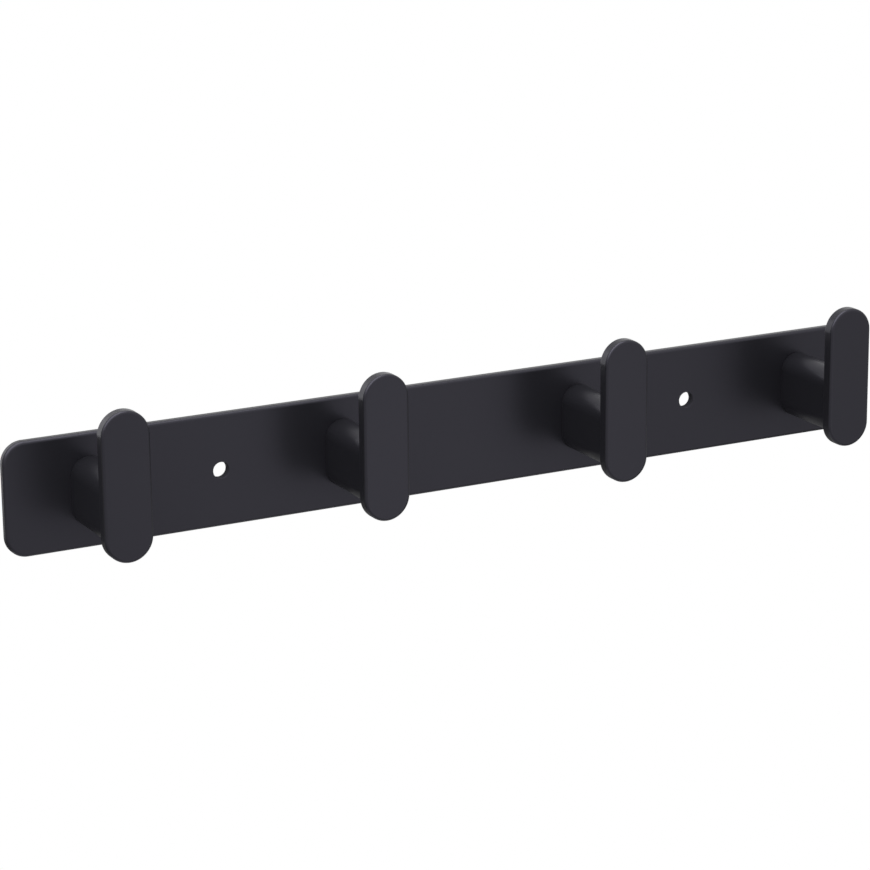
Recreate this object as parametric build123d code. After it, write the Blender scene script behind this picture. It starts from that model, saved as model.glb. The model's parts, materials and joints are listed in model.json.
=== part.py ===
"""Wall coat rack: a flat back plate that carries a row of cast hooks.

Each hook is one casting, an obround post with a flat upright head across its end. Two countersunk
screws from behind the plate hold it. Two plain holes take the screws that fix the rack to a wall.

Millimetres. +X runs along the plate, +Z is up, and the rack faces -Y. The origin is the middle of
the plate's rear face, which lies against the wall.
"""

import os
from math import radians, tan

from build123d import *

# The row of hooks
HOOK_COUNT = 4
HOOK_PITCH = 94.0
END_MARGIN = 30.0  # from the middle of an end hook to the end of the plate

# Back plate
PLATE_HEIGHT = 40.0
PLATE_THICKNESS = 3.0
PLATE_CORNER_RADIUS = 7.5
PLATE_FRONT_EDGE_RADIUS = 1.2
PLATE_REAR_EDGE_RADIUS = 0.2

# Holes for the wall screws, one inside each end hook
WALL_HOLE_DIAMETER = 5.8
WALL_HOLE_EDGE_RADIUS = 0.2
WALL_HOLE_FROM_END_HOOK = 48.0

# Hook post, from the plate's front face to the back of the head
POST_WIDTH = 13.0
POST_HEIGHT = 24.0
POST_LENGTH = 30.5
POST_FOOT_CHAMFER = 0.1

# Hook head, by how far its rim reaches past the post
HEAD_LIP_ABOVE = 23.75
HEAD_LIP_BELOW = 3.75
HEAD_LIP_SIDE = 2.0
HEAD_THICKNESS = 4.5
HEAD_FRONT_EDGE_RADIUS = 1.0
HEAD_REAR_EDGE_RADIUS = 0.5
HEAD_ROOT_RADIUS = 0.8

# Countersunk cross-recess screws, two to a hook, one above the other
SCREW_FROM_POST_END = 6.0  # from a screw's axis to the nearer end of the post
SCREW_THREAD_DIAMETER = 4.0
SCREW_LENGTH = 12.0
SCREW_HEAD_DIAMETER = 8.0
SCREW_HEAD_ANGLE = 90.0
SCREW_HEAD_RIM = 0.3
SCREW_HEAD_SINK = 0.2  # how far the head lies below the plate's rear face
SCREW_TIP_CHAMFER = 0.6
RECESS_SPAN = 4.4
RECESS_WING = 1.0
RECESS_DEPTH = 1.8
RECESS_TAPER = 8.0
SCREW_TURN_STEP = 37.0  # degrees from one recess to the next, as tightening leaves them

# Tapped holes in the post
TAP_RUNOUT = 2.0  # hole left past the screw's tip
TAP_MOUTH_CHAMFER = 0.5
DRILL_POINT_ANGLE = 118.0

# Radial clearances
HEAD_SEAT_CLEARANCE = 0.1
SCREW_HOLE_CLEARANCE = 0.2
THREAD_CLEARANCE = 0.05

# Most that a rounding may take of the wall it sits on
ROUNDING_SHARE = 0.45

plate_length = (HOOK_COUNT - 1) * HOOK_PITCH + 2 * END_MARGIN
head_width = POST_WIDTH + 2 * HEAD_LIP_SIDE
head_height = HEAD_LIP_BELOW + POST_HEIGHT + HEAD_LIP_ABOVE
head_rise = (HEAD_LIP_ABOVE - HEAD_LIP_BELOW) / 2  # head's middle above the post's
head_back_depth = PLATE_THICKNESS + POST_LENGTH
hook_places = [(n - (HOOK_COUNT - 1) / 2) * HOOK_PITCH for n in range(HOOK_COUNT)]
wall_hole_reach = hook_places[-1] - WALL_HOLE_FROM_END_HOOK
screw_rise = POST_HEIGHT / 2 - SCREW_FROM_POST_END
screw_rises = {"upper": screw_rise, "lower": -screw_rise}

thread_radius = SCREW_THREAD_DIAMETER / 2
head_radius = SCREW_HEAD_DIAMETER / 2
cone_slope = tan(radians(SCREW_HEAD_ANGLE / 2))  # radius gained for each unit of depth
cone_start = SCREW_HEAD_SINK + SCREW_HEAD_RIM
screw_tip_depth = SCREW_HEAD_SINK + SCREW_LENGTH


def upright_obround(width, height, depth, rise=0.0):
    """A tall slot shape in a plane parallel to the wall, at a depth in front of it."""
    return Plane.XZ.offset(depth) * Pos(0, rise) * SlotOverall(height, width, rotation=90)


def turned(*outline):
    """A solid turned about the Y axis, from points of (radius, depth in front of the wall)."""
    points = [(radius, -depth) for radius, depth in outline]
    return revolve(make_face(Polyline(*points, close=True)), Axis.Y)


def front_face(solid):
    """The flat face that is furthest from the wall."""
    return solid.faces().filter_by(Axis.Y).sort_by(Axis.Y)[0]


def rear_face(solid):
    """The flat face that is nearest the wall."""
    return solid.faces().filter_by(Axis.Y).sort_by(Axis.Y)[-1]


def screw_hole():
    """The countersunk hole that a screw takes in the plate."""
    seat_radius = head_radius + HEAD_SEAT_CLEARANCE
    hole_radius = thread_radius + SCREW_HOLE_CLEARANCE
    cone_end = cone_start + (seat_radius - hole_radius) / cone_slope
    return turned(
        (0, 0),
        (seat_radius, 0),
        (seat_radius, cone_start),
        (hole_radius, cone_end),
        (hole_radius, max(PLATE_THICKNESS, cone_end)),
        (0, max(PLATE_THICKNESS, cone_end)),
    )


def tapped_hole():
    """The blind hole that a screw takes in the post, with its mouth at the plate's front face."""
    hole_radius = thread_radius + THREAD_CLEARANCE
    mouth_radius = hole_radius + TAP_MOUTH_CHAMFER
    bottom = screw_tip_depth + TAP_RUNOUT
    point = bottom + hole_radius / tan(radians(DRILL_POINT_ANGLE / 2))
    return turned(
        (0, PLATE_THICKNESS),
        (mouth_radius, PLATE_THICKNESS),
        (hole_radius, PLATE_THICKNESS + TAP_MOUTH_CHAMFER),
        (hole_radius, bottom),
        (0, point),
    )


def back_plate():
    """The plate: rounded corners, eased edges, wall holes and countersunk screw holes."""
    outline = RectangleRounded(plate_length, PLATE_HEIGHT, PLATE_CORNER_RADIUS)
    plate = extrude(Plane.XZ * outline, PLATE_THICKNESS)
    most = ROUNDING_SHARE * PLATE_THICKNESS
    plate = fillet(front_face(plate).edges(), min(PLATE_FRONT_EDGE_RADIUS, most))
    plate = fillet(rear_face(plate).edges(), min(PLATE_REAR_EDGE_RADIUS, most))
    for x in (-wall_hole_reach, wall_hole_reach):
        plate -= Pos(x, 0, 0) * extrude(Plane.XZ * Circle(WALL_HOLE_DIAMETER / 2), PLATE_THICKNESS)
    mouths = front_face(plate).inner_wires().edges()
    plate = fillet(mouths, min(WALL_HOLE_EDGE_RADIUS, most))
    for x in hook_places:
        for z in screw_rises.values():
            plate -= Pos(x, 0, z) * screw_hole()
    return plate


def hook():
    """One hook: post and head in one casting, with two tapped holes in the post's foot."""
    post = extrude(upright_obround(POST_WIDTH, POST_HEIGHT, PLATE_THICKNESS), POST_LENGTH)
    post = chamfer(rear_face(post).edges(), POST_FOOT_CHAMFER)
    head = extrude(upright_obround(head_width, head_height, head_back_depth, head_rise), HEAD_THICKNESS)
    most = ROUNDING_SHARE * HEAD_THICKNESS
    head = fillet(front_face(head).edges(), min(HEAD_FRONT_EDGE_RADIUS, most))
    head = fillet(rear_face(head).edges(), min(HEAD_REAR_EDGE_RADIUS, most))
    least_lip = min(HEAD_LIP_ABOVE, HEAD_LIP_BELOW, HEAD_LIP_SIDE)
    root_radius = min(HEAD_ROOT_RADIUS, ROUNDING_SHARE * least_lip)
    casting = post + head
    head_back = casting.faces().filter_by(Plane.XZ.offset(head_back_depth))[0]
    casting = fillet(head_back.inner_wires()[0].edges(), root_radius)
    for z in screw_rises.values():
        casting -= Pos(0, 0, z) * tapped_hole()
    return casting


def screw():
    """One countersunk screw with a cross recess, its axis on the Y axis."""
    cone_end = cone_start + (head_radius - thread_radius) / cone_slope
    body = turned(
        (0, SCREW_HEAD_SINK),
        (head_radius, SCREW_HEAD_SINK),
        (head_radius, cone_start),
        (thread_radius, cone_end),
        (thread_radius, screw_tip_depth - SCREW_TIP_CHAMFER),
        (thread_radius - SCREW_TIP_CHAMFER, screw_tip_depth),
        (0, screw_tip_depth),
    )
    cross = Rectangle(RECESS_SPAN, RECESS_WING) + Rectangle(RECESS_WING, RECESS_SPAN)
    recess = extrude(Plane.XZ.offset(SCREW_HEAD_SINK) * cross, RECESS_DEPTH, taper=RECESS_TAPER)
    return body - recess


def main():
    os.makedirs("parts", exist_ok=True)
    export_step(back_plate(), "parts/back_plate.step")
    turn = 0.0
    for number, x in enumerate(hook_places, start=1):
        export_step(Pos(x, 0, 0) * hook(), f"parts/hook_{number}.step")
        for place, z in screw_rises.items():
            placed = Pos(x, 0, z) * Rot(0, turn, 0) * screw()
            export_step(placed, f"parts/hook_{number}_{place}_screw.step")
            turn += SCREW_TURN_STEP


main()
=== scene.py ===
import json
from math import cos, pi, radians, sin, tan

import bpy
import numpy as np
from mathutils import Matrix, Vector


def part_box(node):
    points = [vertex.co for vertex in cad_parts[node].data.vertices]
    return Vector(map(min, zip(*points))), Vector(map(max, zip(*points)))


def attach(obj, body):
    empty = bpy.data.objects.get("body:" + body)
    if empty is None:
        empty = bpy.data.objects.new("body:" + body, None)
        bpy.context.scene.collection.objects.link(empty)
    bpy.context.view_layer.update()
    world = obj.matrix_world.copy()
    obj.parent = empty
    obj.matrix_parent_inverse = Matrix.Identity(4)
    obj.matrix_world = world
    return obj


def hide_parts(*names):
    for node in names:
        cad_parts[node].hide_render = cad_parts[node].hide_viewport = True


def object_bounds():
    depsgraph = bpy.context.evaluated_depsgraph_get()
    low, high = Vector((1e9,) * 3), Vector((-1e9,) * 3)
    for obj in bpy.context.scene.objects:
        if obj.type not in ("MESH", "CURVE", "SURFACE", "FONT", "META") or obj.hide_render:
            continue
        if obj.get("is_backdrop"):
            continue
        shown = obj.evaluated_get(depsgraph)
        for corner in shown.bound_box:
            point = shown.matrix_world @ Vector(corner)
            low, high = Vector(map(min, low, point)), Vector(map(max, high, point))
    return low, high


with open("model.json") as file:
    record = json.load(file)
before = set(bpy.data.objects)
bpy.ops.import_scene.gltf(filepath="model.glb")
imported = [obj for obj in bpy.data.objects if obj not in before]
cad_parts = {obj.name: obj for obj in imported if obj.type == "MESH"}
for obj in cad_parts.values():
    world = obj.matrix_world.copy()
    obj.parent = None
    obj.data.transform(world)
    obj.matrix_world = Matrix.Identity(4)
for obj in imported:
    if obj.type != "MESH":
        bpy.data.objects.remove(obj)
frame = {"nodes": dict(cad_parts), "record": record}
cad_low, cad_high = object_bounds()

# A wall coat rack in metres: +X along the plate, +Y into the wall, +Z up. Each piece is a skin that
# numpy works out from the frame's boxes and the few sizes below, and it stands for its own solid.

MM = 0.001
SLANT = 0.5 ** 0.5  # both parts of a unit normal at 45 degrees

# Back plate
PLATE_CORNER_RADIUS = 7.5 * MM
PLATE_FRONT_EDGE_RADIUS = 1.2 * MM
PLATE_REAR_EDGE_RADIUS = 0.2 * MM
WALL_HOLE_EDGE_RADIUS = 0.2 * MM

# Hook post and head
POST_WIDTH = 13.0 * MM
POST_HEIGHT = 24.0 * MM
POST_FOOT_CHAMFER = 0.1 * MM
HEAD_THICKNESS = 4.5 * MM
HEAD_FRONT_EDGE_RADIUS = 1.0 * MM
HEAD_REAR_EDGE_RADIUS = 0.5 * MM
HEAD_ROOT_RADIUS = 0.8 * MM

# Screws and their holes
SCREW_HEAD_RIM = 0.3 * MM
SCREW_HEAD_EDGE_RADIUS = 0.1 * MM
SCREW_THREAD_RADIUS = 2.0 * MM
SCREW_TIP_CHAMFER = 0.6 * MM
SCREW_TURN_STEP = radians(37.0)  # from one recess to the next, as tightening leaves them
THREAD_PITCH = 0.7 * MM
THREAD_DEPTH = 0.43 * MM
THREAD_LEAN = 1.8  # most that a flank's normal leans along the screw, for each unit outwards
RECESS_REACH = 2.2 * MM
RECESS_HALF_WING = 0.5 * MM
RECESS_DEPTH = 1.8 * MM
RECESS_TAPER = radians(8.0)
RECESS_BAR_POWER = 8
RECESS_JOIN_POWER = 12
HEAD_SEAT_CLEARANCE = 0.1 * MM
SCREW_HOLE_CLEARANCE = 0.2 * MM
TAP_CLEARANCE = 0.05 * MM
TAP_RUNOUT = 2.0 * MM
TAP_MOUTH_CHAMFER = 0.5 * MM
DRILL_POINT_HALF_ANGLE = radians(59.0)

# Powder coat
COAT_IOR = 1.5
COAT_CLOUD = 25.0 * MM  # width of a slow change of tone
COAT_GRAIN = 0.35 * MM  # coarser than the real grain
COAT_PEEL_HEIGHT = 0.02 * MM
COAT_GRAIN_HEIGHT = 0.01 * MM
COAT_BUMP = 0.25
COAT_ROUGHNESS_SPREAD = 0.04
HOLE_WALL_ROUGHNESS = 0.9

# Zinc plating
ZINC_CLOUD = 2.5 * MM
ZINC_ROUGHNESS = (0.28, 0.42)
LATHE_RING = 0.12 * MM
LATHE_RING_HEIGHT = 0.01 * MM
LATHE_BUMP = 0.3

# How finely the skins are divided
ROUND_STEPS = 8  # across a rounded edge
HALF_TURN_STEPS = 48  # along the half circle of an obround
SIDE_STEPS = 6  # along half a straight side of an obround
CORNER_STEPS = 16  # along a plate corner
CELL_STEPS = 40  # along each straight edge of a plate cell
SCREW_STEPS = 96  # round a screw
HEAD_ROWS = 8  # across the flat of a screw's head
RECESS_ROWS = 6  # down the wall of a recess
RECESS_SAMPLES = 4001  # along a recess's edge, before it is spaced evenly

# Numbers that keep sums safe
WELD = 1e-7  # points that share a cell of this size become one vertex
WELD_SHIFT = 0.317  # keeps round sizes off the borders of these cells
LIMIT_MARGIN = 1.01  # lets a value that equals its limit pass
LEAST_FALL = 1e-9  # keeps a slope from dividing by nothing


def linear(code):
    """Linear RGBA of an sRGB hex colour: each channel over 255, then the sRGB curve undone."""
    channels = np.array([int(code[i:i + 2], 16) for i in (1, 3, 5)]) / 255.0
    curve = np.where(channels <= 0.04045, channels / 12.92, ((channels + 0.055) / 1.055) ** 2.4)
    return (*(float(c) for c in curve), 1.0)


def add(tree, kind, inputs=None, **settings):
    """Adds a node, sets its properties, and gives its inputs values or links from other sockets."""
    node = tree.nodes.new(kind)
    for key, value in settings.items():
        setattr(node, key, value)
    for key, value in (inputs or {}).items():
        if isinstance(value, bpy.types.NodeSocket):
            tree.links.new(value, node.inputs[key])
        else:
            node.inputs[key].default_value = value
    return node


def skin_mesh(name, patches):
    """A closed mesh from patches, each a grid of points with a grid of outward normals.

    Points of all patches that share a place become one vertex. Each cell of a grid becomes a quad,
    or a triangle where two of its corners meet, and keeps the normals of its own patch, so rounded
    edges shade smoothly and true corners stay crisp. A patch whose cells face against its normals
    is turned round.
    """
    points = np.concatenate([grid.reshape(-1, 3) for grid, _ in patches])
    normals = np.concatenate([facing.reshape(-1, 3) for _, facing in patches])
    corners = []
    start = 0
    for grid, _ in patches:
        rows, columns = grid.shape[:2]
        index = start + np.arange(rows * columns).reshape(rows, columns)
        around = (index[:-1, :-1], index[1:, :-1], index[1:, 1:], index[:-1, 1:])
        quads = np.stack(around, -1).reshape(-1, 4)
        first, second, third, fourth = points[quads].swapaxes(0, 1)
        spans = np.cross(third - first, fourth - second)
        inside_out = np.sum(spans * normals[quads].sum(1)) < 0
        corners.append(quads[:, ::-1] if inside_out else quads)
        start += rows * columns
    corners = np.concatenate(corners)
    keys = np.round(points / WELD + WELD_SHIFT).astype(np.int64)
    _, kept, place = np.unique(keys, axis=0, return_index=True, return_inverse=True)
    place = place.reshape(-1)
    repeated = place[corners] == np.roll(place[corners], -1, axis=1)
    pinched = repeated.sum(1) == 1
    quads = corners[repeated.sum(1) == 0]
    triangles = corners[pinched][~repeated[pinched]].reshape(-1, 3)
    loops = np.concatenate([quads.reshape(-1), triangles.reshape(-1)])
    sizes = np.concatenate([np.full(len(quads), 4), np.full(len(triangles), 3)])
    mesh = bpy.data.meshes.new(name)
    mesh.vertices.add(len(kept))
    mesh.vertices.foreach_set("co", points[kept].astype(np.float32).reshape(-1))
    mesh.loops.add(len(loops))
    mesh.loops.foreach_set("vertex_index", place[loops].astype(np.int32))
    mesh.polygons.add(len(sizes))
    mesh.polygons.foreach_set("loop_start", (np.cumsum(sizes) - sizes).astype(np.int32))
    mesh.update(calc_edges=True)
    mesh.validate()
    mesh.polygons.foreach_set("use_smooth", np.ones(len(sizes), bool))
    mesh.normals_split_custom_set(normals[loops].tolist())
    return mesh


def vertex_places(mesh):
    """Places of a mesh's vertices, as rows of x, y and z."""
    places = np.empty(3 * len(mesh.vertices), np.float32)
    mesh.vertices.foreach_get("co", places)
    return places.reshape(-1, 3)


def stand_for(node, mesh, material):
    """Shows a mesh in place of a solid, with the solid's name, body and material slot."""
    piece = bpy.data.objects.new(f"{node}.skin", mesh)
    bpy.context.scene.collection.objects.link(piece)
    mesh.materials.append(material)
    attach(piece, "root")
    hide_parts(node)


def quarter_turn():
    """Cosine and sine of even steps through a quarter turn, which a rounded edge follows."""
    turn = np.linspace(0.0, pi / 2, ROUND_STEPS + 1)
    return list(zip(np.cos(turn), np.sin(turn)))


def obround_turns():
    """Turn of the normal and slide of the centre round an upright obround, from its right side.

    An obround is drawn by a circle's rim: the centre slides up while the right side is drawn, rests
    at the top for half a turn, slides down for the left side, and rests at the bottom.
    """
    half_turn = np.linspace(0.0, pi, HALF_TURN_STEPS + 1)
    climb = np.linspace(0.0, 1.0, SIDE_STEPS + 1)
    fall = np.linspace(1.0, -1.0, 2 * SIDE_STEPS + 1)
    turn = np.concatenate(
        [0 * climb[:-1], half_turn, pi + 0 * fall[1:-1], pi + half_turn, 2 * pi + 0 * climb[1:]]
    )
    slide = np.concatenate(
        [climb[:-1], 1 + 0 * half_turn, fall[1:-1], 0 * half_turn - 1, climb[1:] - 1]
    )
    return turn, slide


def carried_obround(profile):
    """An obround that changes along a profile.

    A row of the profile is reach, slide, middle, y, and the normal's parts outwards and along y. A
    point is the centre, which lies slide times its share above the middle, plus reach along the
    turn. Reach is half the width, and slide is half the height less that.
    """
    reach, slide, middle, y, out, along = np.array(profile)[:, :, None].swapaxes(0, 1)
    turn, share = obround_turns()
    x = reach * np.cos(turn)
    z = middle + slide * share + reach * np.sin(turn)
    points = np.stack([x, y + 0 * turn, z], -1)
    normals = np.stack([out * np.cos(turn), along + 0 * turn, out * np.sin(turn)], -1)
    return points, normals


def turned(profile, centre, angles):
    """A surface of revolution about an axis along Y.

    A row of the profile is radius, y, and the normal's parts outwards and along y. A point lies its
    radius from the centre (x, z) in the direction of each angle.
    """
    radius, y, out, along = np.array(profile)[:, :, None].swapaxes(0, 1)
    across, up = np.cos(angles), np.sin(angles)
    points = np.stack([centre[0] + radius * across, y + 0 * across, centre[1] + radius * up], -1)
    normals = np.stack([out * across, along + 0 * across, out * up], -1)
    return points, normals


def directions(edge, centre):
    """Angle of each point of a closed edge as seen from a centre, growing along the edge."""
    return np.unwrap(np.arctan2(edge[:, 1] - centre[1], edge[:, 0] - centre[0]))


def ring(edge, centre, radius, angles, y, facing):
    """A flat face from a round hole to a closed edge: a straight line joins them at each angle."""
    hole = np.stack([centre[0] + radius * np.cos(angles), centre[1] + radius * np.sin(angles)], -1)
    flat = np.stack([hole, edge])
    points = np.stack([flat[..., 0], np.full(flat.shape[:2], y), flat[..., 1]], -1)
    return points, np.broadcast_to([0.0, facing, 0.0], points.shape)


def mirrored(patch):
    """The same patch upside down: z changes sign."""
    flip = np.array([1.0, 1.0, -1.0])
    return patch[0] * flip, patch[1] * flip


def placed(patches, angle, shift):
    """The same patches after a turn about the Y axis and a shift."""
    turn = np.array(
        [[cos(angle), 0.0, sin(angle)], [0.0, 1.0, 0.0], [-sin(angle), 0.0, cos(angle)]]
    )
    return [(points @ turn.T + shift, normals @ turn.T) for points, normals in patches]


def satin_powder_coat(name, peel, roughness):
    """Black powder coat, sprayed and baked on metal: near black, with a soft broad sheen.

    The melted powder leaves a faint orange peel, so reflections are soft and very slightly uneven.
    The real grain is finer than a pixel, so it is drawn a little coarser, to show at all.
    Powder hardly reaches into a narrow hole, so the coat on its wall is thin, rough and matt.
    """
    material = bpy.data.materials.new(name)
    material.use_nodes = True
    tree = material.node_tree
    shader = tree.nodes["Principled BSDF"]
    place = add(tree, "ShaderNodeTexCoord").outputs["Object"]
    cloud = add(
        tree, "ShaderNodeTexNoise", {"Vector": place, "Scale": 1 / COAT_CLOUD, "Detail": 2.0}
    )
    swell = add(tree, "ShaderNodeTexNoise", {"Vector": place, "Scale": 1 / peel, "Detail": 1.0})
    grain = add(
        tree, "ShaderNodeTexNoise", {"Vector": place, "Scale": 1 / COAT_GRAIN, "Detail": 2.0}
    )
    tone = add(
        tree,
        "ShaderNodeMix",
        {"Factor": cloud.outputs["Fac"], "A": linear("#17171a"), "B": linear("#19191c")},
        data_type="RGBA",
    )
    gloss = add(
        tree,
        "ShaderNodeMapRange",
        {
            "Value": grain.outputs["Fac"],
            "To Min": roughness - COAT_ROUGHNESS_SPREAD,
            "To Max": roughness + COAT_ROUGHNESS_SPREAD,
        },
    )
    hole = add(tree, "ShaderNodeAttribute", attribute_name="hole_wall")
    dulled_or_shaded = add(
        tree,
        "ShaderNodeMix",
        {"Factor": hole.outputs["Fac"], "A": gloss.outputs["Result"], "B": HOLE_WALL_ROUGHNESS},
    )
    waves = add(
        tree,
        "ShaderNodeBump",
        {"Height": swell.outputs["Fac"], "Strength": COAT_BUMP, "Distance": COAT_PEEL_HEIGHT},
    )
    specks = add(
        tree,
        "ShaderNodeBump",
        {
            "Height": grain.outputs["Fac"],
            "Strength": COAT_BUMP,
            "Distance": COAT_GRAIN_HEIGHT,
            "Normal": waves.outputs["Normal"],
        },
    )
    tree.links.new(tone.outputs["Result"], shader.inputs["Base Color"])
    tree.links.new(dulled_or_shaded.outputs["Result"], shader.inputs["Roughness"])
    tree.links.new(specks.outputs["Normal"], shader.inputs["Normal"])
    shader.inputs["IOR"].default_value = COAT_IOR
    shader.inputs["Specular Tint"].default_value = linear("#ebe7ff")
    return material


def bright_zinc_plate():
    """Bright zinc plating on a turned steel screw: a cool pale metal with fine lathe rings.

    Shade is painted into the recess, darker with depth, so the cross reads dark in the pale head.
    """
    material = bpy.data.materials.new("bright zinc plated steel")
    material.use_nodes = True
    tree = material.node_tree
    shader = tree.nodes["Principled BSDF"]
    place = add(tree, "ShaderNodeTexCoord").outputs["Object"]
    cloud = add(
        tree, "ShaderNodeTexNoise", {"Vector": place, "Scale": 1 / ZINC_CLOUD, "Detail": 3.0}
    )
    tone = add(
        tree,
        "ShaderNodeMix",
        {"Factor": cloud.outputs["Fac"], "A": linear("#c3c6cb"), "B": linear("#dcdee1")},
        data_type="RGBA",
    )
    # painted shade: the zinc colour darkens towards dark grey with the recess's depth
    depth = add(tree, "ShaderNodeAttribute", attribute_name="recess_painted_shade")
    dulled_or_shaded = add(
        tree,
        "ShaderNodeMix",
        {"Factor": depth.outputs["Fac"], "A": tone.outputs["Result"], "B": linear("#5b5d61")},
        data_type="RGBA",
    )
    smooth, rough = ZINC_ROUGHNESS
    gloss = add(
        tree,
        "ShaderNodeMapRange",
        {"Value": cloud.outputs["Fac"], "To Min": smooth, "To Max": rough},
    )
    radius = add(tree, "ShaderNodeAttribute", attribute_name="lathe_radius")
    rings = add(
        tree,
        "ShaderNodeTexNoise",
        {"W": radius.outputs["Fac"], "Scale": 1 / LATHE_RING, "Detail": 1.0},
        noise_dimensions="1D",
    )
    marks = add(
        tree,
        "ShaderNodeBump",
        {"Height": rings.outputs["Fac"], "Strength": LATHE_BUMP, "Distance": LATHE_RING_HEIGHT},
    )
    tree.links.new(dulled_or_shaded.outputs["Result"], shader.inputs["Base Color"])
    tree.links.new(gloss.outputs["Result"], shader.inputs["Roughness"])
    tree.links.new(marks.outputs["Normal"], shader.inputs["Normal"])
    shader.inputs["Metallic"].default_value = 1.0
    return material


# What the frame says
plate_low, plate_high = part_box("back_plate")
plate_front = plate_low.y
plate_rear = plate_high.y
mounts = {mount["name"]: mount for mount in frame["record"]["mounts"]}
wall_hole_reach = mounts["wall_holes"]["dims"]["spacing_x_mm"] * MM / 2
wall_hole_radius = mounts["wall_holes"]["dims"]["hole_r_mm"] * MM
hooks = sorted(
    node for node in frame["nodes"] if node.startswith("hook_") and not node.endswith("screw")
)
screws = [f"{hook}_{place}_screw" for hook in hooks for place in ("upper", "lower")]
hook_boxes = {node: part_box(node) for node in hooks}
hook_places = {node: (low.x + high.x) / 2 for node, (low, high) in hook_boxes.items()}
screw_low, screw_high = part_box(f"{hooks[0]}_upper_screw")
screw_rise = (screw_low.z + screw_high.z) / 2
screw_head_radius = (screw_high.x - screw_low.x) / 2
screw_top = screw_high.y
screw_tip = screw_low.y
cone_start = screw_top - SCREW_HEAD_RIM

# Columns of holes in the plate from right to left, and the borders between their cells
hole_columns = sorted([*hook_places.values(), -wall_hole_reach, wall_hole_reach], reverse=True)
cell_stops = [(a + b) / 2 for a, b in zip(hole_columns[:-1], hole_columns[1:])]


def tapped_hole_skin(edge, centre):
    """The foot's flat face inside an edge, and its tapped hole: mouth, wall and drill point."""
    angles = directions(edge, centre)
    hole = SCREW_THREAD_RADIUS + TAP_CLEARANCE
    mouth = hole + TAP_MOUTH_CHAMFER
    wall_start = plate_front - TAP_MOUTH_CHAMFER
    bottom = screw_tip - TAP_RUNOUT
    point = bottom - hole / tan(DRILL_POINT_HALF_ANGLE)
    out, along = -cos(DRILL_POINT_HALF_ANGLE), sin(DRILL_POINT_HALF_ANGLE)
    profiles = [
        [(mouth, plate_front, -SLANT, SLANT), (hole, wall_start, -SLANT, SLANT)],
        [(hole, wall_start, -1.0, 0.0), (hole, bottom, -1.0, 0.0)],
        [(hole, bottom, out, along), (0.0, point, out, along)],
    ]
    face = ring(edge, centre, mouth, angles, plate_front, 1.0)
    return [face] + [turned(profile, centre, angles) for profile in profiles]


def hook_skin():
    """Post and head as one obround carried from the post's foot to the front of the head."""
    low, high = hook_boxes[hooks[0]]
    head_reach = (high.x - low.x) / 2
    head_slide = (high.z - low.z) / 2 - head_reach
    head_middle = (high.z + low.z) / 2
    head_front = low.y
    head_back = head_front + HEAD_THICKNESS
    post_reach = POST_WIDTH / 2
    post_slide = POST_HEIGHT / 2 - post_reach
    foot = POST_FOOT_CHAMFER
    root = HEAD_ROOT_RADIUS
    front_edge = HEAD_FRONT_EDGE_RADIUS
    rear_edge = HEAD_REAR_EDGE_RADIUS

    def post(reach, y, out, along):
        return (reach, post_slide, 0.0, y, out, along)

    def head(reach, y, out, along):
        return (reach, head_slide, head_middle, y, out, along)

    chamfer = [
        post(post_reach - foot, plate_front, SLANT, SLANT),
        post(post_reach, plate_front - foot, SLANT, SLANT),
    ]
    wall = [post(post_reach, plate_front - foot, 1.0, 0.0)]
    wall += [
        post(post_reach + root * (1 - c), head_back + root * (1 - s), c, s)
        for c, s in quarter_turn()
    ]
    wall += [
        head(head_reach - rear_edge * (1 - s), head_back - rear_edge * (1 - c), s, c)
        for c, s in quarter_turn()
    ]
    wall += [
        head(head_reach - front_edge * (1 - c), head_front + front_edge * (1 - s), c, -s)
        for c, s in quarter_turn()
    ]
    wall += [head(0.0, head_front, 0.0, -1.0)]
    patches = [carried_obround(chamfer), carried_obround(wall)]

    turn, share = obround_turns()
    reach = post_reach - foot
    outline = np.stack([reach * np.cos(turn), post_slide * share + reach * np.sin(turn)], -1)
    upper = outline[: len(outline) // 2 + 1]
    chord = np.linspace(upper[-1], upper[0], CELL_STEPS + 1)
    tapped = tapped_hole_skin(np.concatenate([upper, chord[1:]]), (0.0, screw_rise))
    return patches + tapped + [mirrored(patch) for patch in tapped]


def plate_outline(inset):
    """Upper half of the plate's rim, from the right end's middle over the top to the left end's.

    A circle of the corner's radius, less the inset, rolls round inside the rim: its centre moves
    along the sides, as far as far_x and far_z, and rests at each corner for a quarter turn.
    """
    far_x = plate_high.x - PLATE_CORNER_RADIUS
    far_z = plate_high.z - PLATE_CORNER_RADIUS
    quarter = np.linspace(0.0, pi / 2, CORNER_STEPS + 1)
    side = np.linspace(0.0, far_z, CELL_STEPS + 1)
    stops = np.concatenate([[far_x], cell_stops, [-far_x]])
    steps = np.arange((len(stops) - 1) * CELL_STEPS + 1) / CELL_STEPS
    top = np.interp(steps, np.arange(len(stops)), stops)[1:-1]
    on_side, on_corner, on_top = np.zeros(CELL_STEPS), 0 * quarter, 0 * top
    centre_x = np.concatenate(
        [on_side + far_x, on_corner + far_x, top, on_corner - far_x, on_side - far_x]
    )
    centre_z = np.concatenate(
        [side[:-1], on_corner + far_z, on_top + far_z, on_corner + far_z, side[-2::-1]]
    )
    turn = np.concatenate([on_side, quarter, on_top + pi / 2, quarter + pi / 2, on_side + pi])
    reach = PLATE_CORNER_RADIUS - inset
    return np.stack([centre_x + reach * np.cos(turn), centre_z + reach * np.sin(turn)], -1), turn


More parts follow.
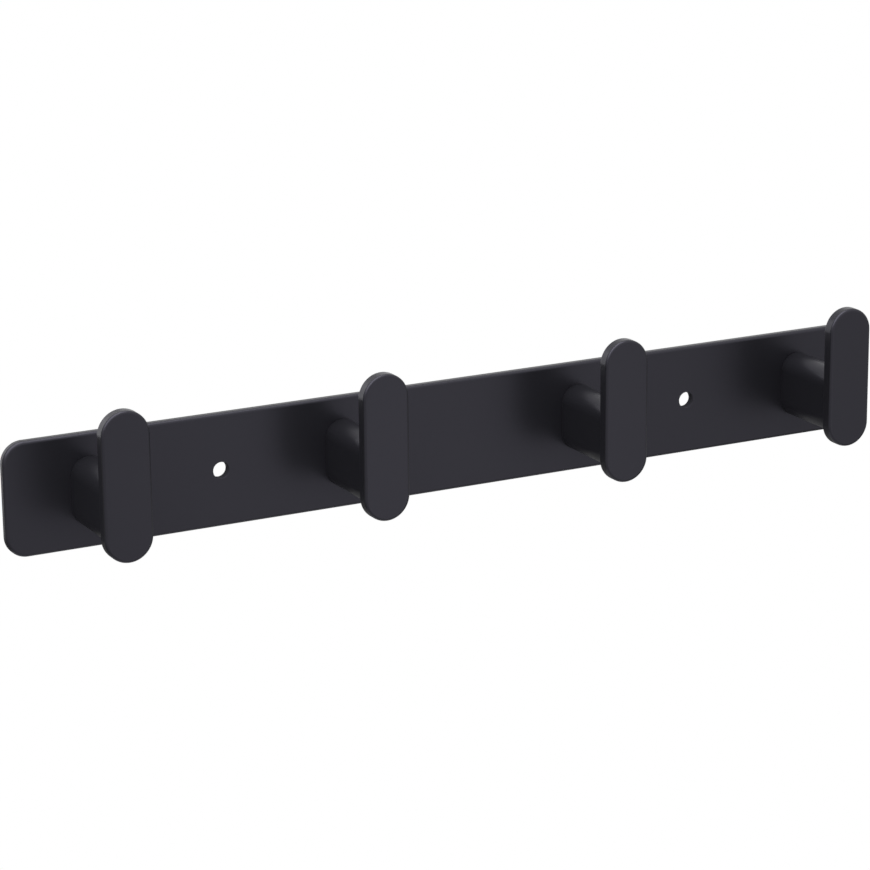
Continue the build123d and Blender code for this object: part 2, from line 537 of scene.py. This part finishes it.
def plate_cells(inset):
    """Edges of the upper half of each cell of a plate face, right to left.

    There is one cell to a column of holes. The rim is cut where it comes nearest to each border
    along the top, and straight lines from the cuts to the plate's middle line close the cell.
    """
    rim, _ = plate_outline(inset)
    on_end = rim[:, 1] < plate_high.z - PLATE_CORNER_RADIUS
    cuts = [int(np.argmin(np.abs(rim[:, 0] - x) + on_end)) for x in cell_stops]
    cuts = [0] + cuts + [len(rim) - 1]
    for start, end in zip(cuts[:-1], cuts[1:]):
        edge = rim[start:end + 1]
        if start > 0:
            climb = np.linspace([edge[0, 0], 0.0], edge[0], CELL_STEPS + 1)
            edge = np.concatenate([climb[:-1], edge])
        if end < len(rim) - 1:
            fall = np.linspace(edge[-1], [edge[-1, 0], 0.0], CELL_STEPS + 1)
            edge = np.concatenate([edge, fall[1:]])
        yield edge


def plate_rim_skin():
    """Upper half of the plate's rim: the outline carried along its rear and front roundings."""
    front, rear = PLATE_FRONT_EDGE_RADIUS, PLATE_REAR_EDGE_RADIUS
    profile = [(rear * (1 - s), plate_rear - rear * (1 - c), s, c) for c, s in quarter_turn()]
    profile += [(front * (1 - c), plate_front + front * (1 - s), c, -s) for c, s in quarter_turn()]
    points, normals = [], []
    for inset, y, out, along in profile:
        edge, turn = plate_outline(inset)
        level = np.ones(len(edge))
        points.append(np.stack([edge[:, 0], y * level, edge[:, 1]], -1))
        normals.append(np.stack([out * np.cos(turn), along * level, out * np.sin(turn)], -1))
    return np.stack(points), np.stack(normals)


def plate_skin():
    """Rim, front and rear faces and the walls of all holes.

    A cell with a wall hole reaches from the plate's top to its bottom. The others hold one screw
    hole above the middle line, and are repeated upside down below it.
    """
    rim = plate_rim_skin()
    patches = [rim, mirrored(rim)]
    seat = screw_head_radius + HEAD_SEAT_CLEARANCE
    shank = SCREW_THREAD_RADIUS + SCREW_HOLE_CLEARANCE
    cone_end = cone_start - (seat - shank)
    countersink = [
        [(seat, plate_rear, -1.0, 0.0), (seat, cone_start, -1.0, 0.0)],
        [(seat, cone_start, -SLANT, SLANT), (shank, cone_end, -SLANT, SLANT)],
        [(shank, cone_end, -1.0, 0.0), (shank, plate_front, -1.0, 0.0)],
    ]
    mouth = WALL_HOLE_EDGE_RADIUS
    plain = [(wall_hole_radius, plate_rear, -1.0, 0.0)]
    plain += [
        (wall_hole_radius + mouth * (1 - c), plate_front + mouth * (1 - s), -c, -s)
        for c, s in quarter_turn()
    ]
    front_edges = plate_cells(PLATE_FRONT_EDGE_RADIUS)
    rear_edges = plate_cells(PLATE_REAR_EDGE_RADIUS)
    for x, front_edge, rear_edge in zip(hole_columns, front_edges, rear_edges):
        whole = x not in hook_places.values()
        centre = (x, 0.0 if whole else screw_rise)
        loops = []
        for edge in (front_edge, rear_edge):
            if whole:
                below = edge[::-1] * [1.0, -1.0]
            else:
                below = np.linspace(edge[-1], edge[0], 2 * CELL_STEPS + 1)
            loops.append(np.concatenate([edge, below[1:]]))
        front_loop, rear_loop = loops
        angles = directions(rear_loop, centre)
        walls = [plain] if whole else countersink
        rear_radius, front_radius = walls[0][0][0], walls[-1][-1][0]
        cell = [
            ring(front_loop, centre, front_radius, angles, plate_front, -1.0),
            ring(rear_loop, centre, rear_radius, angles, plate_rear, 1.0),
        ]
        cell += [turned(wall, centre, angles) for wall in walls]
        patches += cell
        if not whole:
            patches += [mirrored(patch) for patch in cell]
    return patches


def mark_hole_walls(mesh):
    """Marks the walls of the plate's wall holes: 1 on a wall, fading to 0 round its mouth.

    The share is 1 less the normal's part along Y, for corners within the mouth's reach of an axis.
    """
    corners = np.empty(len(mesh.loops), np.int32)
    mesh.loops.foreach_get("vertex_index", corners)
    normals = np.empty(3 * len(corners), np.float32)
    mesh.corner_normals.foreach_get("vector", normals)
    x, _, z = vertex_places(mesh)[corners].T
    reach = wall_hole_radius + LIMIT_MARGIN * WALL_HOLE_EDGE_RADIUS
    inside = np.hypot(np.abs(x) - wall_hole_reach, z) < reach
    share = np.where(inside, 1 - np.abs(normals[1::3]), 0.0)
    mark = mesh.attributes.new("hole_wall", "FLOAT", "CORNER")
    mark.data.foreach_set("value", share.astype(np.float32))


def cross_edge(depth):
    """Points of a recess's edge at a depth, evenly spaced along it, as columns of x and z.

    A bar of the cross is a superellipse: |x / reach| and |z / half wing|, each to the bar's power,
    add up to 1. The cross reaches as far in each direction as the power mean of its two bars, which
    rounds the inner corners.
    """
    reach = RECESS_REACH - depth * tan(RECESS_TAPER)
    wing = RECESS_HALF_WING - depth * tan(RECESS_TAPER)
    bar, join = RECESS_BAR_POWER, RECESS_JOIN_POWER
    turn = np.linspace(0.0, 2 * pi, RECESS_SAMPLES)
    across, up = np.abs(np.cos(turn)), np.abs(np.sin(turn))
    level_bar = ((across / reach) ** bar + (up / wing) ** bar) ** (-1 / bar)
    upright_bar = ((up / reach) ** bar + (across / wing) ** bar) ** (-1 / bar)
    radius = (level_bar ** join + upright_bar ** join) ** (1 / join)
    edge = np.stack([radius * np.cos(turn), radius * np.sin(turn)], -1)
    length = np.concatenate([[0.0], np.cumsum(np.linalg.norm(np.diff(edge, axis=0), axis=1))])
    even = np.linspace(0.0, length[-1], SCREW_STEPS + 1)
    return np.stack([np.interp(even, length, edge[:, 0]), np.interp(even, length, edge[:, 1])], -1)


def recess_skin():
    """Walls and floor of a cross recess: the cross shrinks evenly with depth, by the taper."""
    depths = np.linspace(0.0, RECESS_DEPTH, RECESS_ROWS + 1)
    edges = np.stack([cross_edge(depth) for depth in depths])
    ahead = np.roll(edges[:, :-1], -1, axis=1) - np.roll(edges[:, :-1], 1, axis=1)
    ahead = np.concatenate([ahead, ahead[:, :1]], axis=1)
    inward = np.stack([-ahead[..., 1], ahead[..., 0]], -1)
    inward = cos(RECESS_TAPER) * (inward / np.linalg.norm(ahead, axis=-1, keepdims=True))
    y = np.broadcast_to(screw_top - depths[:, None], edges.shape[:2])
    lean = np.full(edges.shape[:2], sin(RECESS_TAPER))
    points = np.stack([edges[..., 0], y, edges[..., 1]], -1)
    normals = np.stack([inward[..., 0], lean, inward[..., 1]], -1)
    floor = np.stack([points[-1], points[-1] * [0.0, 1.0, 0.0]])
    return [(points, normals), (floor, np.broadcast_to([0.0, 1.0, 0.0], floor.shape))]


def thread_skin(top, bottom, angles):
    """A metric thread between two depths, drawn as rows that climb one pitch in each turn.

    The radius falls from the crest, an eighth of the pitch wide, to the root, a quarter wide, along
    straight flanks. It fades to the full radius within half a pitch of either end. A normal leans
    along the screw by the change of the radius for each unit of depth.
    """
    corners = np.array([0.0, 1 / 16, 3 / 8, 5 / 8, 15 / 16])
    turns = int((top - bottom) / THREAD_PITCH) + 3
    phase = (np.arange(-1, turns)[:, None] + corners).reshape(-1, 1)
    y = np.clip(top - THREAD_PITCH * (phase - angles / (2 * pi)), bottom, top)
    depth = np.tile([0.0, 0.0, 1.0, 1.0, 0.0], turns + 1)[:, None] * THREAD_DEPTH
    fade = np.clip(np.minimum(top - y, y - bottom) / (THREAD_PITCH / 2), 0.0, 1.0)
    radius = SCREW_THREAD_RADIUS - depth * fade
    points = np.stack([radius * np.cos(angles), y, radius * np.sin(angles)], -1)
    rise = np.gradient(radius, axis=0) / np.minimum(np.gradient(y, axis=0), -LEAST_FALL)
    lean = -np.clip(rise, -THREAD_LEAN, THREAD_LEAN)
    normals = np.stack([np.cos(angles) + 0 * y, lean, np.sin(angles) + 0 * y], -1)
    return points, normals / np.linalg.norm(normals, axis=-1, keepdims=True)


def screw_skin():
    """A countersunk screw about the Y axis: recess, flat head, rounded rim, cone, thread and tip.

    The flat of the head goes in even steps from the recess's edge to the rim.
    """
    head = screw_head_radius
    edge = SCREW_HEAD_EDGE_RADIUS
    shank = SCREW_THREAD_RADIUS
    tip = shank - SCREW_TIP_CHAMFER
    cone_end = cone_start - (head - shank)
    tip_start = screw_tip + SCREW_TIP_CHAMFER
    angles = np.linspace(0.0, 2 * pi, SCREW_STEPS + 1)
    rim = [(head - edge * (1 - s), screw_top - edge * (1 - c), s, c) for c, s in quarter_turn()]
    rim += [(head, cone_start, 1.0, 0.0)]
    profiles = [
        rim,
        [(head, cone_start, SLANT, -SLANT), (shank, cone_end, SLANT, -SLANT)],
        [(shank, tip_start, SLANT, -SLANT), (tip, screw_tip, SLANT, -SLANT)],
        [(tip, screw_tip, 0.0, -1.0), (0.0, screw_tip, 0.0, -1.0)],
    ]
    inner = cross_edge(0.0)
    outer = (head - edge) * np.stack([np.cos(angles), np.sin(angles)], -1)
    share = np.linspace(0.0, 1.0, HEAD_ROWS + 1)[:, None, None]
    flat = (1 - share) * inner + share * outer
    face = np.stack([flat[..., 0], np.full(flat.shape[:2], screw_top), flat[..., 1]], -1)
    patches = [(face, np.broadcast_to([0.0, 1.0, 0.0], face.shape))]
    patches += [turned(profile, (0.0, 0.0), angles) for profile in profiles]
    return patches + [thread_skin(cone_end, tip_start, angles)] + recess_skin()


def mark_screw(mesh, axis):
    """Marks a screw's vertices with their distance from its axis and share of the recess's depth,
    which sets the painted shade.
    """
    across, y, up = (vertex_places(mesh) - axis).T
    radius = mesh.attributes.new("lathe_radius", "FLOAT", "POINT")
    radius.data.foreach_set("value", np.hypot(across, up).astype(np.float32))
    # painted shade in the recess: share of its depth, and nothing outside it
    share = (screw_top - y) / RECESS_DEPTH
    depth = mesh.attributes.new("recess_painted_shade", "FLOAT", "POINT")
    depth.data.foreach_set("value", np.where(share < LIMIT_MARGIN, share, 0.0).astype(np.float32))


plate_coat = satin_powder_coat(
    "satin black powder coat on sheet steel", peel=2.0 * MM, roughness=0.34
)
hook_coat = satin_powder_coat(
    "satin black powder coat on die-cast zinc", peel=1.4 * MM, roughness=0.30
)
zinc_plate = bright_zinc_plate()

plate_mesh = skin_mesh("back_plate", plate_skin())
mark_hole_walls(plate_mesh)
stand_for("back_plate", plate_mesh, plate_coat)

hook_patches = hook_skin()
for node in hooks:
    shift = np.array([hook_places[node], 0.0, 0.0])
    stand_for(node, skin_mesh(node, placed(hook_patches, 0.0, shift)), hook_coat)

screw_patches = screw_skin()
for number, node in enumerate(screws):
    low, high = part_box(node)
    axis = np.array([(low.x + high.x) / 2, 0.0, (low.z + high.z) / 2])
    screw_mesh = skin_mesh(node, placed(screw_patches, number * SCREW_TURN_STEP, axis))
    mark_screw(screw_mesh, axis)
    stand_for(node, screw_mesh, zinc_plate)

# Studio: a soft dome, four soft boxes, and a pale floor well below the rack
DOME_LEVEL = 0.44  # the dome's light, level with the rack and to either side
DOME_SLOPE = (0.0, -0.33, 0.60)  # its change along X, Y and Z: more from the front and from above
DOME_LEAST = 0.0  # where the slope would take it below nothing
REFLECTED_SHARE = 0.15  # of the white background: all of it draws pale lines on the black edges
FLOOR_DROP = 0.35
FLOOR_RADIUS = 0.37
FLOOR_STEPS = 128
FLOOR_LIFT = 0.45  # light added to the paper where it shows, which makes it white


def shown_rays(tree):
    """1 where the background shows straight or through glass, and less in a reflection."""
    path = add(tree, "ShaderNodeLightPath").outputs
    straight = add(
        tree,
        "ShaderNodeMath",
        {0: path["Is Camera Ray"], 1: path["Is Transmission Ray"]},
        operation="MAXIMUM",
    )
    reflected = add(
        tree, "ShaderNodeMath", {0: path["Is Glossy Ray"], 1: REFLECTED_SHARE}, operation="MULTIPLY"
    )
    both = add(
        tree,
        "ShaderNodeMath",
        {0: straight.outputs[0], 1: reflected.outputs[0]},
        operation="MAXIMUM",
    )
    return both.outputs[0]


def studio_world():
    """A white dome, whose light is a level plus the product of the slope and the direction."""
    world = bpy.data.worlds.new("white studio")
    bpy.context.scene.world = world
    world.use_nodes = True
    tree = world.node_tree
    way = add(tree, "ShaderNodeTexCoord").outputs["Generated"]
    rise = add(tree, "ShaderNodeVectorMath", {0: way, 1: DOME_SLOPE}, operation="DOT_PRODUCT")
    light = add(tree, "ShaderNodeMath", {0: rise.outputs["Value"], 1: DOME_LEVEL}, operation="ADD")
    dome = add(tree, "ShaderNodeMath", {0: light.outputs[0], 1: DOME_LEAST}, operation="MAXIMUM")
    strength = add(
        tree, "ShaderNodeMix", {"Factor": shown_rays(tree), "A": dome.outputs[0], "B": 1.0}
    )
    tree.links.new(strength.outputs["Result"], tree.nodes["Background"].inputs["Strength"])
    tree.nodes["Background"].inputs["Color"].default_value = linear("#ffffff")


def studio_floor():
    """A round sheet of pale paper: matt, so it keeps shadows, and lifted to white where it shows."""
    mesh = bpy.data.meshes.new("floor")
    turn = np.linspace(0.0, 2 * pi, FLOOR_STEPS + 1)[:-1]
    level = np.full(len(turn), float(cad_low.z) - FLOOR_DROP)
    rim = np.stack([FLOOR_RADIUS * np.cos(turn), FLOOR_RADIUS * np.sin(turn), level], -1)
    mesh.from_pydata(rim.tolist(), [], [tuple(range(len(turn)))])
    floor = bpy.data.objects.new("floor", mesh)
    bpy.context.scene.collection.objects.link(floor)
    floor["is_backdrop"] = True
    material = bpy.data.materials.new("pale paper")
    material.use_nodes = True
    tree = material.node_tree
    tree.nodes.clear()
    paper = add(tree, "ShaderNodeBsdfDiffuse", {"Color": linear("#a8a8a8")})
    lift = add(tree, "ShaderNodeMath", {0: shown_rays(tree), 1: FLOOR_LIFT}, operation="MULTIPLY")
    glow = add(tree, "ShaderNodeEmission", {"Strength": lift.outputs[0]})
    both = add(tree, "ShaderNodeAddShader", {0: paper.outputs[0], 1: glow.outputs[0]})
    add(tree, "ShaderNodeOutputMaterial", {"Surface": both.outputs[0]})
    mesh.materials.append(material)


def soft_box(name, place, width, height, power):
    """A flat area lamp at a place, turned to face the rack's middle."""
    lamp = bpy.data.lights.new(name, "AREA")
    lamp.shape = "RECTANGLE"
    lamp.size = width
    lamp.size_y = height
    lamp.energy = power
    holder = bpy.data.objects.new(name, lamp)
    bpy.context.scene.collection.objects.link(holder)
    holder.location = place
    holder.rotation_euler = (-Vector(place)).to_track_quat("-Z", "Y").to_euler()


def photo_camera():
    """A long lens to the left of and above the rack: yaw and pitch turn it, roll levels it."""
    place = (-0.503785, -0.959912, 0.305066)
    yaw, pitch, roll = radians(27.256), radians(15.77), radians(-0.625)
    image_pixels = 870
    focal_pixels = 3172.996
    ahead = Vector((sin(yaw) * cos(pitch), cos(yaw) * cos(pitch), -sin(pitch)))
    level = Vector((cos(yaw), -sin(yaw), 0.0))
    above = level.cross(ahead)
    right = cos(roll) * level + sin(roll) * above
    up = cos(roll) * above - sin(roll) * level
    data = bpy.data.cameras.new("photo camera")
    data.sensor_width = 36.0
    data.lens = data.sensor_width * focal_pixels / image_pixels
    data.clip_start = 0.05
    data.clip_end = 100.0
    camera = bpy.data.objects.new("photo camera", data)
    bpy.context.scene.collection.objects.link(camera)
    turn = Matrix((right, up, -ahead)).transposed().to_4x4()
    camera.matrix_world = Matrix.Translation(place) @ turn
    bpy.context.scene.camera = camera


studio_world()
studio_floor()
soft_box("front box", (0.64, -1.37, -0.44), width=0.35, height=0.35, power=0.28)
soft_box("overhead box", (-0.45, -0.2, 1.0), width=1.1, height=2.2, power=19.0)
soft_box("left back box", (-0.35, 1.4, 0.12), width=1.1, height=1.1, power=4.4)
soft_box("right back box", (0.7, 1.3, 0.3), width=0.9, height=0.9, power=1.3)
photo_camera()
bpy.context.scene.view_settings.view_transform = "Standard"

low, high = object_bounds()
